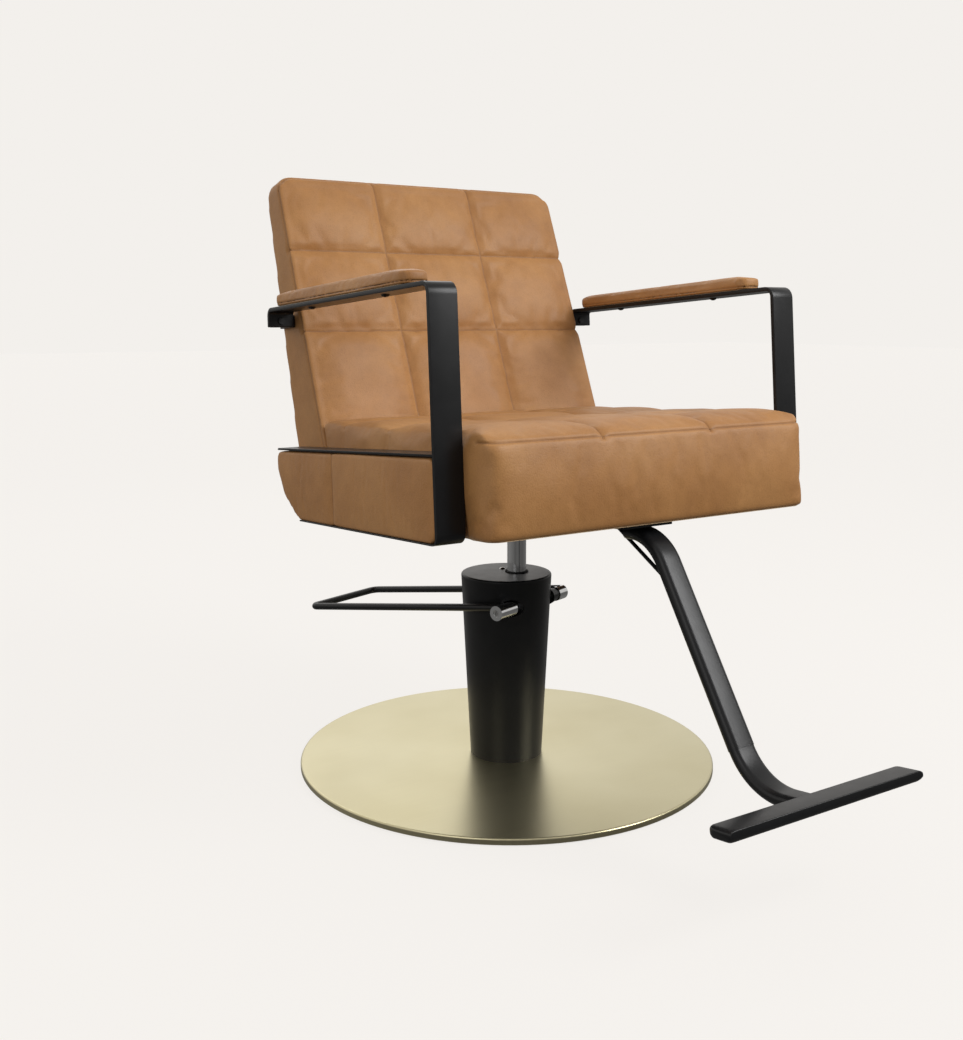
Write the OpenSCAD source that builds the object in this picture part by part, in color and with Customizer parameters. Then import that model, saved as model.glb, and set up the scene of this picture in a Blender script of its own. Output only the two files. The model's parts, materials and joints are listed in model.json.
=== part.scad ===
// Hydraulic styling chair: round base, conical column, pump lever, padded seat and back,
// bent flat-bar arms and a T-bar footrest. Millimetres, +Z up, the sitter faces -Y.
// Origin: the swivel axis at floor level.

/* [Base and column] */
// Radius of the round base plate
base_r = 302; // [280:2:320]
// Thickness of the base plate
base_t = 8.5; // [6:0.5:10]
// Thickness of the rubber pad under the base plate
pad_t = 1.5; // [1.5:0.5:3]
// Distance across from the swivel axis to the column's centre
column_x = -15; // [-16:1:-13]
// Distance back from the swivel axis to the column's centre
column_y = 5; // [4:1:6]
// Outer radius of the column cover at its foot
cover_foot_r = 52.5; // [52:0.5:56]
// Outer radius of the column cover at its top
cover_top_r = 66.5; // [65:0.5:68]
// Height of the column cover's top above the floor
cover_top = 278; // [276:1:282]
// Radius of the polished ram
ram_r = 14; // [13:0.5:14.5]

/* [Pump lever] */
// Turn of the pump and its lever about the column
pump_turn = 20; // [10:1:30]
// Height of the lever's cross shaft
shaft_z = 239; // [238:1:243]
// Distance of the cross shaft in front of the column's centre
shaft_out = 43; // [42:0.5:44]
// Half of the distance between the lever's two rods
rod_half_gap = 73; // [73:0.5:78]
// Length of the lever's rods from the cross shaft to the handle bar
rod_length = 374; // [300:2:380]
// Radius of the lever's rod
rod_r = 5.3; // [4.5:0.1:6]
// Droop of the lever towards the floor
rod_droop = 8.2; // [4:0.1:10]

/* [Seat and back] */
// Height of the seat's underside above the floor, on the swivel axis
seat_z = 379; // [377:1:384]
// Backward tilt of the seat
seat_tilt = 3.75; // [2:0.25:5]
// Half width of the seat and the back
seat_half_w = 254; // [240:1:256]
// Distance from the swivel axis to the seat's front
seat_front = 323; // [310:1:330]
// Height of the seat cushion
seat_h = 130; // [110:1:134]
// Recline of the back's front face, measured from the seat
back_recline = 18; // [16:0.5:20]
// Height of the back's top above the seat's underside
back_top = 503; // [470:1:520]

/* [Arms] */
// Distance from the middle of the chair to the middle of each arm
arm_x = 278; // [277:0.1:284]
// Width of the arms' flat bar
bar_w = 39; // [37:0.5:41]
// Thickness of the arms' flat bar
bar_t = 6; // [5:0.5:8]
// Height of the arm bar's top above the seat's underside
arm_top = 299; // [280:1:310]
// Distance from the swivel axis to the front of the arm's leg
leg_front = 271; // [268:1:276]

/* [Footrest] */
// Width of the footrest's flat-oval tube
tube_w = 36; // [34:1:42]
// Thickness of the footrest's flat-oval tube
tube_t = 17; // [15:1:20]
// Half length of the foot bar
foot_half_w = 151; // [140:1:170]

/* [Hidden] */

black_steel = "#1c1c1d";
bare_steel = "#a9abae";
chrome = "#d5d6d8";
bronze = "#a98048";
rubber = "#202020";
plywood = "#c9a876";
leather = "#b1814f";
$fn = 48;

// Running clearance of shafts, rams and screws, and the small gap between touching soft parts
run = 0.05;
gap = 0.5;
fit = 0.3;
m5_r = 2.5;
m6_r = 3;
m8_r = 4;
plate_top = pad_t + base_t;

// Pump: places across (u) and along (v) the lever, from the column's centre
shell_t = 2;
cylinder_r = 24;
bore_r = 17;
cylinder_top = 232;
flange_r = 46;
flange_t = 10;
flange_bolt_r = 37;
flange_bolt_angles = [37, 102, 182, 247];
deck_z = 190;
deck_t = 12;
head_screw_places = [[-2, -44], [-32, -20]];
ear_t = 8;
ear_u = [-32, 16];
boss_r = 10;
shaft_r = 6;
bush_r = 8;
cover_hole_r = 12.2;
cover_screw_at = [15, 18];
cover_bush_t = 2;
plunger_u = -17;
plunger_reach = 16;
plunger_r = 6;
barrel_r = 9.5;
barrel_len = 42;
nose_r = 6;
cam_wall = 2;
cam_arm_t = 7;
plunger_top = shaft_z - nose_r - 0.1;
plunger_head_t = 3;
spring_r = 7.6;
wire_r = 0.8;
spring_turns = 6;
block_r = 10.5;
block_in = [-46, 64];
block_out = 84;
rod_rise = 6.5;
screw_r = 5;
gland_r = 22;
gland_top = 262;

// Ram and piston, at mid stroke
piston_z = 105;
piston_t = 20;
washer_t = 3;
ram_foot = piston_z + piston_t + washer_t;
spigot_r = 6;
spigot_len = 12;
hub_r = 24;
hub_foot = 356;
hub_plate_x = 100;
hub_plate_v = [-100, 34];
hub_plate_t = 6;
dust_t = 1;
seat_foot = -3;
under = seat_foot - dust_t;

// Seat and back, in the seat's own tilted frame: v runs back, w runs up
front_flare = 4;
seat_front_r = 22;
board_t = 14;
rail_v = [-200, 36];
rail_w = 36;
rail_screw_x = 190;
back_foot_w = 2;
back_line_v = 115;
back_line_w = 110;
back_rear_foot_v = 188;
back_rear_top_v = 302;
back_panel_t = 5;
back_board_t = 12;
back_board_inset = 26;
strap_x = 190;
strap_w = 36;
strap_t = 5;
strap_end = 183;
strap_top = 230;
strap_screw_y = [90, 190];
rear_lean = atan2(back_rear_top_v - back_rear_foot_v, back_top - back_foot_w);

// Arms
strip_top = 99.5;
strip_drop = 5;
strip_t = 3;
strip_rear = 176;
frame_foot = -7;
frame_foot_t = 2;
frame_rear = 109;
arm_rear = 196;
lip_foot = 271;
pad_front = 216;
pad_rear = 171;
pad_h = 17;
pad_screw_v = [-133, 82];
bracket_t = 4;
bracket_reach = 44;
bracket_h = arm_top - lip_foot - 10;
bracket_screw_w = lip_foot + bracket_h / 2;
bracket_screw_v = arm_rear + 30;

// Footrest, in the seat's frame
foot_plate_half_w = 42;
foot_plate_v = [-293, -215];
foot_plate_t = 6;
tube_wall = 2;
tube_start = -262;
tube_w0 = under - foot_plate_t - tube_t / 2;
bend_r = 66;
bend_angle = 60.5;
top_run = 8;
straight_len = 233;
elbow_r = 77;
elbow_angle = 64.75;
bar_reach = 45;
bar_rise = 12;
foot_bar_t = 13.5;
foot_bar_depth = [16, 19.5];
cap_t = 3;
brace_r = 2.5;
brace_top = [-226, -12];
brace_foot = [-332, -79];

// ---------- shared outlines and placements ----------

function unit2(p) = p / norm(p);

// Points of a rounded corner at b between a and c
function corner(a, b, c, r, n = 8) =
    let (ua = unit2(a - b), uc = unit2(c - b), half = acos(ua * uc) / 2,
         m = b + unit2(ua + uc) * r / sin(half),
         s = b + ua * r / tan(half) - m, e = b + uc * r / tan(half) - m,
         a0 = atan2(s.y, s.x), turn = (atan2(e.y, e.x) - a0 + 540) % 360 - 180)
    [for (i = [0:n]) m + r * [cos(a0 + turn * i / n), sin(a0 + turn * i / n)]];

// A closed outline of [x, y, corner radius] points
function rounded(p) =
    [for (i = [0:len(p) - 1])
        let (k = len(p), a = p[(i + k - 1) % k], b = p[i], c = p[(i + 1) % k])
        each b.z > 0 ? corner([a.x, a.y], [b.x, b.y], [c.x, c.y], b.z) : [[b.x, b.y]]];

module on_column() { translate([column_x, column_y, 0]) rotate([0, 0, pump_turn]) children(); }
module on_seat() { translate([0, 0, seat_z]) rotate([-seat_tilt, 0, 0]) children(); }
// A (v, w) outline made solid from x0 across a width
module across(x0, width) { translate([x0, 0, 0]) rotate([90, 0, 90]) linear_extrude(width) children(); }
module ring(r_out, r_in, h) {
    difference() {
        cylinder(r = r_out, h = h);
        translate([0, 0, -1]) cylinder(r = r_in, h = h + 2);
    }
}
// The same on either side of the middle, from in to out
module outboard(s, near, far, r) { along_u(s > 0 ? near : -far, s > 0 ? far : -near, r); }
module along_u(u0, u1, r) { translate([u0, 0, 0]) rotate([0, 90, 0]) cylinder(r = r, h = u1 - u0); }
module on_shaft() { on_column() translate([0, -shaft_out, shaft_z]) children(); }
module hex_bolt(r, h, head_r, head_h) {
    cylinder(r = head_r, h = head_h, $fn = 6);
    translate([0, 0, head_h - 0.01]) cylinder(r = r, h = h);
}
function cover_r(z) = cover_foot_r + (cover_top_r - cover_foot_r) * (z - plate_top) / (cover_top - plate_top);

// ---------- base ----------

module floor_pad() {
    color(rubber) translate([column_x, column_y, 0]) cylinder(r = base_r - 4, h = pad_t, $fn = 96);
}

module base_plate() {
    edge = 2.5;
    color("#cfc39d") on_column() translate([0, 0, pad_t]) difference() {
        rotate_extrude($fn = 120)
            polygon(concat([[0, 0], [base_r - 1, 0], [base_r, 1]],
                [for (a = [0:15:90]) [base_r - edge + edge * cos(a), base_t - edge + edge * sin(a)]],
                [[0, base_t]]));
        for (a = flange_bolt_angles) rotate([0, 0, a]) translate([flange_bolt_r, 0, -1]) {
            cylinder(r = m8_r + 2 * run, h = base_t + 2);
            cylinder(r = 7.1, h = 4.1);
        }
    }
}

module base_bolts() {
    color(bare_steel) on_column() for (a = flange_bolt_angles)
        rotate([0, 0, a]) translate([flange_bolt_r, 0, pad_t]) difference() {
            union() {
                cylinder(r = 7, h = 3);
                cylinder(r = m8_r, h = base_t + flange_t + 2);
            }
            translate([0, 0, -1]) cylinder(r = 2.5, h = 3, $fn = 6);
        }
}

module pump_cylinder() {
    color("#3a3b3d") difference() {
        union() {
            on_column() translate([0, 0, plate_top]) cylinder(r = flange_r, h = flange_t);
            translate([0, 0, plate_top]) cylinder(r = cylinder_r, h = cylinder_top - plate_top);
        }
        translate([0, 0, plate_top + flange_t - 2]) cylinder(r = bore_r, h = cylinder_top);
        on_column() for (a = flange_bolt_angles)
            rotate([0, 0, a]) translate([flange_bolt_r, 0, plate_top - 1])
                cylinder(r = m8_r + run, h = flange_t + 2);
    }
}

module pump_head() {
    deck = rounded([[-36, -50, 10], [26, -52, 10], [38, -20, 14], [38, 16, 20], [-12, 18, 14],
        [-40, -12, 14]]);
    color("#4a4b4d") difference() {
        union() {
            on_column() translate([0, 0, deck_z]) linear_extrude(deck_t) polygon(deck);
            on_column() for (u = ear_u) translate([u, -shaft_out - 6, deck_z + 1])
                cube([ear_t, 12, shaft_z - deck_z]);
            on_shaft() for (u = ear_u) along_u(u, u + ear_t, boss_r);
            on_column() translate([plunger_u, plunger_reach - shaft_out, deck_z - barrel_len])
                cylinder(r = barrel_r, h = barrel_len + 1);
        }
        translate([0, 0, deck_z - 1]) cylinder(r = cylinder_r + run, h = 90);
        on_shaft() along_u(-60, 60, bush_r + run);
        on_column() translate([plunger_u, plunger_reach - shaft_out, deck_z - barrel_len - 1])
            cylinder(r = plunger_r + run, h = barrel_len + deck_t + 10);
        on_column() for (p = head_screw_places) translate([p.x, p.y, deck_z - 1])
            cylinder(r = m5_r + run, h = deck_t + 2);
    }
}

module head_screws() {
    color(bare_steel) on_column() for (p = head_screw_places) translate([p.x, p.y, deck_z]) {
        cylinder(r = m5_r, h = deck_t);
        translate([0, 0, deck_t]) difference() {
            cylinder(r = 4, h = 4);
            translate([0, 0, 2]) cylinder(r = 2, h = 3, $fn = 6);
        }
    }
}

module shaft_bushes() {
    color(bronze) on_shaft() for (u = ear_u) difference() {
        along_u(u - 0.5, u + ear_t + 0.5, bush_r);
        along_u(u - 2, u + ear_t + 2, shaft_r + run);
    }
}

module gland_nut() {
    color(bare_steel) difference() {
        union() {
            translate([0, 0, cylinder_top - 14]) cylinder(r = bore_r - run, h = 15);
            translate([0, 0, cylinder_top]) cylinder(r = gland_r, h = gland_top - cylinder_top);
        }
        translate([0, 0, cylinder_top - 20]) cylinder(r = ram_r + run, h = 80);
        translate([0, 0, gland_top - 5]) cylinder(r = ram_r + 4, h = 10);
    }
}

module ram_seal() {
    color(rubber) translate([0, 0, gland_top - 5]) ring(ram_r + 4, ram_r + run, 6);
}

// Round wire wound in a helix, as rings of points joined into one closed skin
module helix(r, wire, height, turns, sides = 8, steps = 16) {
    rows = turns * steps;
    pts = [for (i = [0:rows]) let (a = 360 * i / steps)
        for (j = [0:sides - 1]) let (b = 360 * j / sides, q = r + wire * cos(b))
            [q * cos(a), q * sin(a), wire + (height - 2 * wire) * i / rows + wire * sin(b)]];
    skin = [for (i = [0:rows - 1]) for (j = [0:sides - 1]) let (k = (j + 1) % sides)
        [i * sides + j, i * sides + k, (i + 1) * sides + k, (i + 1) * sides + j]];
    ends = [[for (j = [sides - 1:-1:0]) j], [for (j = [0:sides - 1]) rows * sides + j]];
    polyhedron(pts, concat(skin, ends), convexity = 10);
}

module plunger_spring() {
    foot = deck_z + deck_t;
    color(bare_steel) on_column() translate([plunger_u, plunger_reach - shaft_out, foot])
        helix(spring_r, wire_r, plunger_top - plunger_head_t - foot, spring_turns);
}

module column_cover() {
    fillet = 3;
    slope = [cover_top_r - cover_foot_r, cover_top - plate_top];
    color(black_steel) difference() {
        on_column() rotate_extrude($fn = 96) difference() {
            polygon(concat([[0, plate_top], [cover_foot_r, plate_top]],
                corner([cover_foot_r, plate_top], [cover_top_r, cover_top], [0, cover_top], fillet),
                [[0, cover_top]]));
            polygon([[0, plate_top - 1], [cover_foot_r - shell_t - slope.x / slope.y, plate_top - 1],
                [cover_r(cover_top - shell_t) - shell_t, cover_top - shell_t], [0, cover_top - shell_t]]);
        }
        translate([0, 0, cover_top - 10]) cylinder(r = ram_r + cover_bush_t + 0.1, h = 20);
        on_shaft() along_u(-100, 100, cover_hole_r);
        on_column() translate([cover_screw_at.x, cover_screw_at.y, cover_top - 10])
            cylinder(r = m5_r + run, h = 20);
    }
}

module cover_bush() {
    color(rubber) translate([0, 0, cover_top - 4]) {
        ring(ram_r + cover_bush_t, ram_r + 0.4, 5);
        translate([0, 0, 4]) ring(ram_r + cover_bush_t + 1.2, ram_r + 0.4, 1.2);
    }
}

module cover_screw() {
    color(chrome) on_column() translate([cover_screw_at.x, cover_screw_at.y, cover_top - 8]) {
        cylinder(r = m5_r, h = 8);
        translate([0, 0, 8]) intersection() {
            translate([0, 0, -3.4]) sphere(r = 5.6);
            cylinder(r = 4.5, h = 4);
        }
    }
}

// ---------- piston: rises with the seat, doesn't turn ----------

module piston_head() {
    color(bare_steel) translate([0, 0, piston_z]) difference() {
        cylinder(r = bore_r - run, h = piston_t);
        translate([0, 0, piston_t - spigot_len - 1]) cylinder(r = spigot_r + run, h = 20);
        translate([0, 0, 6]) ring(bore_r + 2, bore_r - 3, 4);
    }
}

module piston_seal() {
    color(rubber) translate([0, 0, piston_z + 6.1]) ring(bore_r - run, bore_r - 2.9, 3.8);
}

module thrust_washer() {
    color(bronze) translate([0, 0, piston_z + piston_t]) ring(ram_r - 0.5, spigot_r + run, washer_t - run);
}

// ---------- pump plunger ----------

module plunger() {
    plunger_foot = deck_z - barrel_len + 8;
    color(bare_steel) on_column() translate([plunger_u, plunger_reach - shaft_out, 0]) {
        translate([0, 0, plunger_foot]) cylinder(r = plunger_r, h = plunger_top - plunger_foot);
        translate([0, 0, plunger_top - plunger_head_t]) cylinder(r = spring_r + 1, h = plunger_head_t);
    }
}

// ---------- lever ----------

module lever_shaft() {
    color(chrome) on_shaft() along_u(block_in[0], block_in[1], shaft_r);
}

module pump_cam() {
    width = 11;
    color("#5a5b5d") on_shaft() difference() {
        union() {
            along_u(plunger_u - width / 2, plunger_u + width / 2, shaft_r + cam_wall);
            translate([plunger_u - width / 2, 0, -cam_arm_t / 2]) cube([width, plunger_reach, cam_arm_t]);
            translate([0, plunger_reach, 0]) along_u(plunger_u - width / 2, plunger_u + width / 2, nose_r);
        }
        along_u(-60, 60, shaft_r);
        translate([plunger_u, 0, 0]) rotate([90, 0, 0]) cylinder(r = 1.5, h = 20);
    }
}

module cam_pin() {
    color(bare_steel) on_shaft() translate([plunger_u, -shaft_r, 0]) rotate([90, 0, 0])
        cylinder(r = 1.5, h = 4);
}

module shaft_collar() {
    color(black_steel) on_shaft() difference() {
        rotate([0, 90, 0]) translate([0, 0, 46]) cylinder(r1 = 11.5, r2 = 9, h = 17.8);
        along_u(40, 70, shaft_r);
    }
}

// Direction of the rods from the cross shaft
module along_rods() { on_shaft() rotate([-rod_droop, 0, 0]) children(); }

module lever_blocks() {
    color(chrome) along_rods() for (s = [-1, 1]) difference() {
        outboard(s, s > 0 ? block_in[1] : -block_in[0], block_out, block_r);
        translate([s * rod_half_gap, -3, rod_rise]) rotate([-90, 0, 0]) cylinder(r = rod_r, h = 20);
        outboard(s, rod_half_gap, block_out + 1, screw_r);
    }
}

module lever_screws() {
    color(bare_steel) along_rods() for (s = [-1, 1]) difference() {
        outboard(s, rod_half_gap + rod_r + 0.3, block_out - 1, screw_r);
        translate([s * block_out, 0, 0]) rotate([0, 90, 0]) cylinder(r = 3, h = 7, center = true, $fn = 6);
    }
}

module lever_bar() {
    bend = 12;
    straight = rod_length - bend;
    color(black_steel) along_rods() translate([0, 0, rod_rise]) {
        for (s = [-1, 1]) {
            translate([s * rod_half_gap, -3, 0]) rotate([-90, 0, 0]) cylinder(r = rod_r, h = straight + 3);
            translate([s * (rod_half_gap - bend), straight, 0]) mirror([s < 0 ? 1 : 0, 0, 0])
                rotate_extrude(angle = 90) translate([bend, 0]) circle(r = rod_r, $fn = 24);
        }
        translate([0, rod_length, 0]) along_u(bend - rod_half_gap, rod_half_gap - bend, rod_r);
    }
}

// ---------- seat ----------

module ram() {
    color(chrome) {
        translate([0, 0, ram_foot]) cylinder(r = ram_r, h = hub_foot + 12 - ram_foot);
        translate([0, 0, ram_foot - spigot_len]) cylinder(r = spigot_r, h = spigot_len + 1);
    }
}

module seat_hub() {
    color(black_steel) difference() {
        translate([0, 0, hub_foot]) cylinder(r = hub_r, h = 30);
        translate([0, 0, hub_foot - 1]) cylinder(r = ram_r, h = 13);
        on_seat() translate([-60, -60, under - hub_plate_t]) cube([120, 120, 60]);
    }
}

hub_bolt_places = [[-75, -75], [75, -75], [75, 15], [-75, 15]];

module hub_plate() {
    color(black_steel) on_seat() difference() {
        translate([0, 0, under - hub_plate_t]) linear_extrude(hub_plate_t)
            polygon(rounded([for (p = [[-1, 0], [1, 0], [1, 1], [-1, 1]])
                [p.x * hub_plate_x, hub_plate_v[p.y], 14]]));
        for (p = hub_bolt_places) translate([p.x, p.y, under - hub_plate_t - 1])
            cylinder(r = m8_r + run, h = 10);
    }
}

module hub_bolts() {
    head = 5;
    grip = hub_plate_t + dust_t + 10;
    color(bare_steel) on_seat() for (p = hub_bolt_places)
        translate([p.x, p.y, under - hub_plate_t - head]) hex_bolt(m8_r, grip, 6.5, head);
}

foot_bolt_places = [for (x = [-31, 31]) for (v = [-281, -228]) [x, v]];

module seat_plan(inset) {
    h = seat_half_w - inset;
    front = inset - seat_front;
    wide = h + front_flare;
    polygon(rounded([[-wide, front, 16], [wide, front, 16], [wide, -leg_front - 4, 4],
        [h, -leg_front + 10, 6], [h, 250, 4], [-h, 250, 4], [-h, -leg_front + 10, 6],
        [-wide, -leg_front - 4, 4]]));
}

// The seat's rear leans with the back's front face
function seat_rear(w) = back_line_v + (w - back_line_w) * tan(back_recline) - gap;

// The board's outline from the side, from a height up to the board's top
module board_side(w) {
    top = seat_foot + board_t;
    polygon([[-400, w], [seat_rear(w) - 2, w], [seat_rear(top) - 2, top], [-400, top]]);
}

module seat_board() {
    color(plywood) on_seat() difference() {
        intersection() {
            translate([0, 0, seat_foot]) linear_extrude(board_t) seat_plan(6);
            across(-300, 600) board_side(seat_foot);
        }
        for (p = concat(hub_bolt_places, foot_bolt_places)) translate([p.x, p.y, under])
            cylinder(r = m8_r + run, h = 11);
        for (p = rail_screw_places) translate([p.x, p.y, under]) cylinder(r = m6_r + run, h = 11);
    }
}

module dust_cover() {
    color("#18181a") on_seat() difference() {
        translate([-236, 18 - seat_front, under]) cube([472, seat_front + 50, dust_t]);
        for (p = concat(hub_bolt_places, foot_bolt_places)) translate([p.x, p.y, under - 1])
            cylinder(r = m8_r + run, h = 4);
        for (p = rail_screw_places) translate([p.x, p.y, under - 1]) cylinder(r = m6_r + run, h = 4);
    }
}

module seat_cushion() {
    color(leather) on_seat() difference() {
        intersection() {
            translate([0, 0, seat_foot]) linear_extrude(seat_h - seat_foot) seat_plan(0);
            across(-300, 600) polygon(rounded([[-seat_front, seat_foot, 5],
                [seat_rear(seat_foot), seat_foot, 0], [seat_rear(seat_h), seat_h, 4],
                [-seat_front, seat_h, seat_front_r]]));
        }
        intersection() {
            translate([0, 0, under]) linear_extrude(board_t + dust_t + fit) seat_plan(6 - fit);
            across(-300, 600) translate([fit, fit]) board_side(under);
        }
    }
}

rail_screw_places = [for (x = [-rail_screw_x, rail_screw_x]) for (v = rail_v) [x, v + rail_w / 2]];

module cross_rails() {
    reach = arm_x - bar_w / 2;
    color(black_steel) on_seat() difference() {
        for (v = rail_v) translate([-reach, v, under - hub_plate_t]) cube([2 * reach, rail_w, hub_plate_t]);
        for (p = rail_screw_places) translate([p.x, p.y, under - hub_plate_t - 1])
            cylinder(r = m6_r + run, h = 10);
    }
}

module rail_screws() {
    head = 2.5;
    color(bare_steel) on_seat() for (p = rail_screw_places) translate([p.x, p.y, under - hub_plate_t]) {
        cylinder(r = m6_r, h = hub_plate_t + dust_t + 10);
        translate([0, 0, -head]) cylinder(r = 5.5, h = head);
    }
}

// ---------- back ----------

// Frame on the back's rear face: its second axis runs up the face, its third into the back
module on_rear() {
    on_seat() translate([0, back_rear_foot_v, back_foot_w]) rotate([90 - rear_lean, 0, 0]) children();
}
rear_len = (back_top - back_foot_w) / cos(rear_lean);
board_lo = 24;
board_hi = rear_len - 50;

module back_board() {
    h = seat_half_w - back_board_inset - fit;
    color(plywood) on_rear() difference() {
        translate([-h, board_lo, back_panel_t]) cube([2 * h, board_hi - board_lo, back_board_t]);
        for (x = [-strap_x, strap_x]) {
            translate([x - strap_w / 2 - fit, -1, back_panel_t - 1])
                cube([strap_w + 2 * fit, strap_top + 1 + fit, strap_t + 1 + fit]);
            for (y = strap_screw_y) translate([x, y, 0]) cylinder(r = m6_r + run, h = 14);
        }
    }
}

module back_straps() {
    color(black_steel) for (x = [-strap_x, strap_x]) difference() {
        union() {
            on_rear() translate([x - strap_w / 2, -9, back_panel_t]) cube([strap_w, strap_top + 9, strap_t]);
            on_seat() translate([x - strap_w / 2, rail_v[1] + rail_w, under - strap_t])
                cube([strap_w, strap_end - rail_v[1] - rail_w, strap_t]);
        }
        on_seat() translate([-300, 0, under - strap_t - 40]) cube([600, 400, 40]);
        on_seat() translate([-300, strap_end, under - strap_t - 1]) cube([600, 400, strap_t + 1]);
        on_rear() for (y = strap_screw_y) translate([x, y, -5]) cylinder(r = m6_r + run, h = 30);
    }
}

module strap_screws() {
    color(bare_steel) on_rear() for (x = [-strap_x, strap_x]) for (y = strap_screw_y)
        translate([x, y, back_panel_t + run]) cylinder(r = m6_r, h = strap_t + 3.5);
}

module back_outline() {
    fv = function (w) back_line_v + (w - back_line_w) * tan(back_recline);
    polygon(rounded([[fv(back_foot_w), back_foot_w, 3], [fv(back_top), back_top, 14],
        [back_rear_top_v, back_top, 37], [back_rear_foot_v, back_foot_w, 3]]));
}

module back_cushion() {
    h = seat_half_w - back_board_inset;
    color(leather) difference() {
        on_seat() intersection() {
            across(-seat_half_w, 2 * seat_half_w) back_outline();
            translate([0, 400, 0]) rotate([90, 0, 0]) linear_extrude(500)
                polygon(rounded([[-seat_half_w, back_foot_w, 4], [seat_half_w, back_foot_w, 4],
                    [seat_half_w, back_top, 16], [-seat_half_w, back_top, 16]]));
        }
        on_rear() translate([-h, board_lo - fit, -50])
            cube([2 * h, board_hi - board_lo + 2 * fit, 50 + back_panel_t + back_board_t + fit]);
        on_rear() for (x = [-strap_x, strap_x])
            translate([x - strap_w / 2 - fit, -60, back_panel_t - fit])
                cube([strap_w + 2 * fit, 90, strap_t + 2 * fit]);
    }
}

module back_panel() {
    h = seat_half_w - back_board_inset - fit;
    color(leather) on_rear() translate([-h, board_lo, fit])
        cube([2 * h, board_hi - board_lo, back_panel_t - 2 * fit]);
}

// ---------- arms ----------

module frame_outline() {
    inner = bar_t;
    polygon(rounded([[arm_rear, lip_foot, 1.5], [arm_rear, arm_top, 12], [-leg_front, arm_top, 16],
        [-leg_front, frame_foot, 14], [frame_rear, frame_foot, 0.8],
        [frame_rear, frame_foot + frame_foot_t, 0.8], [-leg_front + inner, frame_foot + frame_foot_t, 6],
        [-leg_front + inner, arm_top - inner, 8],
        [arm_rear - inner, arm_top - inner, 4], [arm_rear - inner, lip_foot, 1.5]]));
}

module side_frame(side) {
    color(black_steel) on_seat() difference() {
        across(side * arm_x - bar_w / 2, bar_w) frame_outline();
        for (v = pad_screw_v) translate([side * arm_x, v, arm_top - bar_t - 1])
            cylinder(r = m6_r + run, h = bar_t + 2);
        translate([side * arm_x, arm_rear - bar_t - 1, bracket_screw_w]) rotate([-90, 0, 0])
            cylinder(r = m6_r + run, h = bar_t + 2);
    }
}
module side_frame_left() { side_frame(1); }
module side_frame_right() { side_frame(-1); }

// The strip falls slightly towards the rear
module side_strip(side) {
    rear_top = strip_top - strip_drop;
    color(black_steel) on_seat() across(side * arm_x - bar_w / 2, bar_w)
        polygon(rounded([[-leg_front + bar_t, strip_top - strip_t, 0], [-leg_front + bar_t, strip_top, 0],
            [strip_rear, rear_top, 1.8], [strip_rear + 1, rear_top - strip_t, 0.8]]));
}
module side_strip_left() { side_strip(1); }
module side_strip_right() { side_strip(-1); }

module side_panel(side) {
    foot = frame_foot + frame_foot_t + fit;
    top = strip_top - strip_t - fit;
    front = -leg_front + bar_t + fit;
    rear = strip_rear + 8;
    color(leather) on_seat() across(side * arm_x - bar_w / 2 + 0.5, bar_w - 1)
        polygon(rounded([[front, foot, 14], [frame_rear + fit, foot, 0], [frame_rear + fit, frame_foot + 0.8, 0],
            [frame_rear + 16, frame_foot + 6, 30], [rear - 21, 27, 45], [rear, 64, 40],
            [rear, top - strip_drop - 0.1, 14], [front, top, 10]]));
}
module side_panel_left() { side_panel(1); }
module side_panel_right() { side_panel(-1); }

module pad_plan(inset) {
    h = bar_w / 2 + 1.5 - inset;
    polygon(rounded([[-h, -pad_front + inset, 16], [h, -pad_front + inset, 16],
        [h, pad_rear - inset, 16], [-h, pad_rear - inset, 16]]));
}

arm_board_t = 4;
module arm_board(side) {
    color(plywood) on_seat() translate([side * arm_x, 0, arm_top]) difference() {
        linear_extrude(arm_board_t) pad_plan(3.5);
        for (v = pad_screw_v) translate([0, v, -1]) cylinder(r = m6_r + run, h = 4.6);
    }
}
module arm_board_left() { arm_board(1); }
module arm_board_right() { arm_board(-1); }

module arm_pad(side) {
    color(leather) on_seat() translate([side * arm_x, 0, arm_top + fit]) difference() {
        intersection() {
            linear_extrude(pad_h) pad_plan(0);
            across(-50, 100) polygon(rounded([[-pad_front, 0, 3], [pad_rear, 0, 3], [pad_rear, pad_h, 8],
                [-pad_front, pad_h, 8]]));
            translate([0, 400, 0]) rotate([90, 0, 0]) linear_extrude(800)
                polygon(rounded([[-22, 0, 2], [22, 0, 2], [22, pad_h, 8], [-22, pad_h, 8]]));
        }
        translate([0, 0, -1]) linear_extrude(arm_board_t + 1) pad_plan(3.3);
    }
}
module arm_pad_left() { arm_pad(1); }
module arm_pad_right() { arm_pad(-1); }

module arm_pad_screws() {
    color(black_steel) on_seat() for (s = [-1, 1]) for (v = pad_screw_v)
        translate([s * arm_x, v, arm_top - bar_t]) {
            cylinder(r = m6_r, h = bar_t + 3.4);
            intersection() {
                translate([0, 0, 3.5]) sphere(r = 7);
                translate([0, 0, -3.5]) cylinder(r = 6, h = 3.5);
            }
        }
}

module back_brackets() {
    near = seat_half_w + fit;
    far = arm_x + bar_w / 2 - 6;
    color(black_steel) on_seat() for (s = [-1, 1]) difference() {
        union() {
            translate([s > 0 ? near : -far, arm_rear, lip_foot]) cube([far - near, bracket_t, bracket_h]);
            translate([s > 0 ? near : -near - bracket_t, arm_rear, lip_foot])
                cube([bracket_t, bracket_reach, bracket_h]);
        }
        translate([s * arm_x, arm_rear - 1, bracket_screw_w]) rotate([-90, 0, 0])
            cylinder(r = m6_r + run, h = 10);
        translate([s * (seat_half_w - 5), bracket_screw_v, bracket_screw_w]) rotate([0, s * 90, 0])
            cylinder(r = m6_r + run, h = 20);
    }
}

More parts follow.
